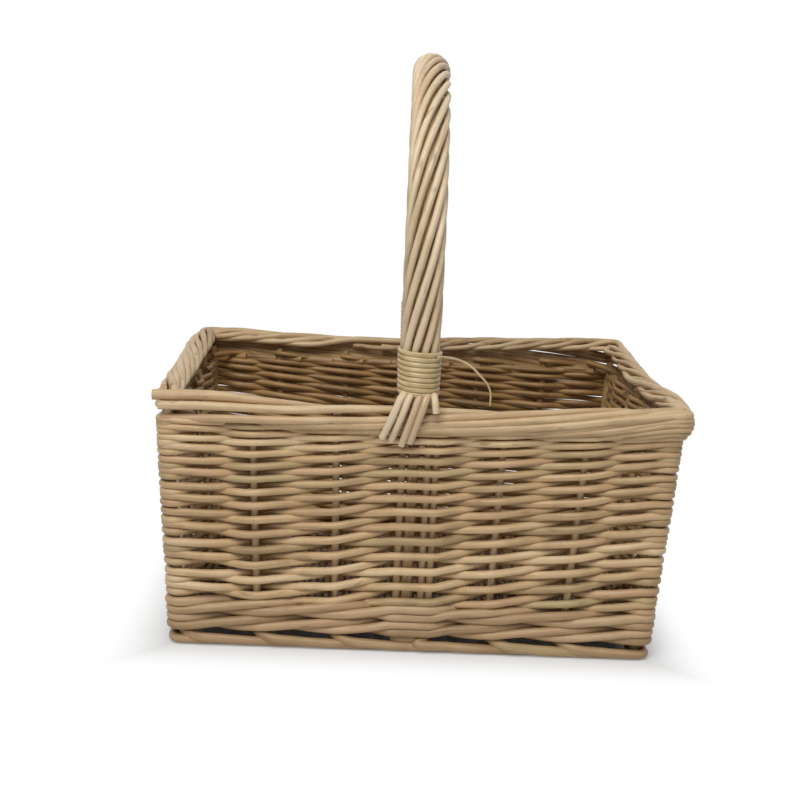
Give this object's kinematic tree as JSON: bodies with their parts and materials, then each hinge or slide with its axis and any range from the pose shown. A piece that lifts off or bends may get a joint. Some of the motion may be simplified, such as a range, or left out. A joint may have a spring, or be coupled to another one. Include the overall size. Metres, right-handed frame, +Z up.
{
  "type": "straw basket",
  "caption": "Rectangular tapered willow basket with randed walls, waled foot, rolled border and a fixed rope-wrapped bow handle bound to the rim.",
  "frame": {"origin": "on the floor, under the middle of the basket", "axes": "+X along the long walls, +Y from the front long wall to the back one, +Z up. The handle stands in the plane x = 0."},
  "size_m": [0.3984, 0.311, 0.45],
  "materials": {
    "foot": "satin buff willow, rubbed dark in the joints",
    "base": "satin buff willow",
    "uprights": "satin buff willow",
    "wale": "satin buff willow",
    "weave": "satin buff willow, rod by rod from straw to pinkish brown",
    "border": "satin buff willow",
    "handle_core": "plain willow rod",
    "handle_rope": "satin buff willow",
    "binding": "glossy split cane"
  },
  "bodies": {
    "root": {"foot_border": "foot", "base_weave": "base", "base_stick_1": "uprights", "base_stick_2": "uprights", "base_stick_3": "uprights", "base_stick_4": "uprights", "base_stick_5": "uprights", "front_stake_1": "uprights", "front_stake_2": "uprights", "front_stake_4": "uprights", "front_stake_5": "uprights", "front_liner_left_1": "uprights", "front_liner_left_2": "uprights", "front_liner_right_1": "uprights", "front_liner_right_2": "uprights", "front_left_post": "uprights", "right_stake_1": "uprights", "right_stake_2": "uprights", "right_stake_3": "uprights", "right_left_post": "uprights", "back_stake_1": "uprights", "back_stake_2": "uprights", "back_stake_4": "uprights", "back_stake_5": "uprights", "back_liner_left_1": "uprights", "back_liner_left_2": "uprights", "back_liner_right_1": "uprights", "back_liner_right_2": "uprights", "back_left_post": "uprights", "left_stake_1": "uprights", "left_stake_2": "uprights", "left_stake_3": "uprights", "left_left_post": "uprights", "upsett_wale": "wale", "front_weave": "weave", "right_weave": "weave", "back_weave": "weave", "left_weave": "weave", "front_border": "border", "right_border": "border", "back_border": "border", "left_border": "border", "handle_bow": "handle_core", "handle_strand_1": "handle_rope", "handle_strand_2": "handle_rope", "handle_strand_3": "handle_rope", "handle_strand_4": "handle_rope", "handle_strand_5": "handle_rope", "handle_strand_6": "handle_rope", "handle_strand_7": "handle_rope", "handle_strand_8": "handle_rope", "handle_strand_9": "handle_rope", "handle_strand_10": "handle_rope", "front_binding": "binding", "back_binding": "binding", "binding_loose_end": "binding"}
  },
  "joints": []
}
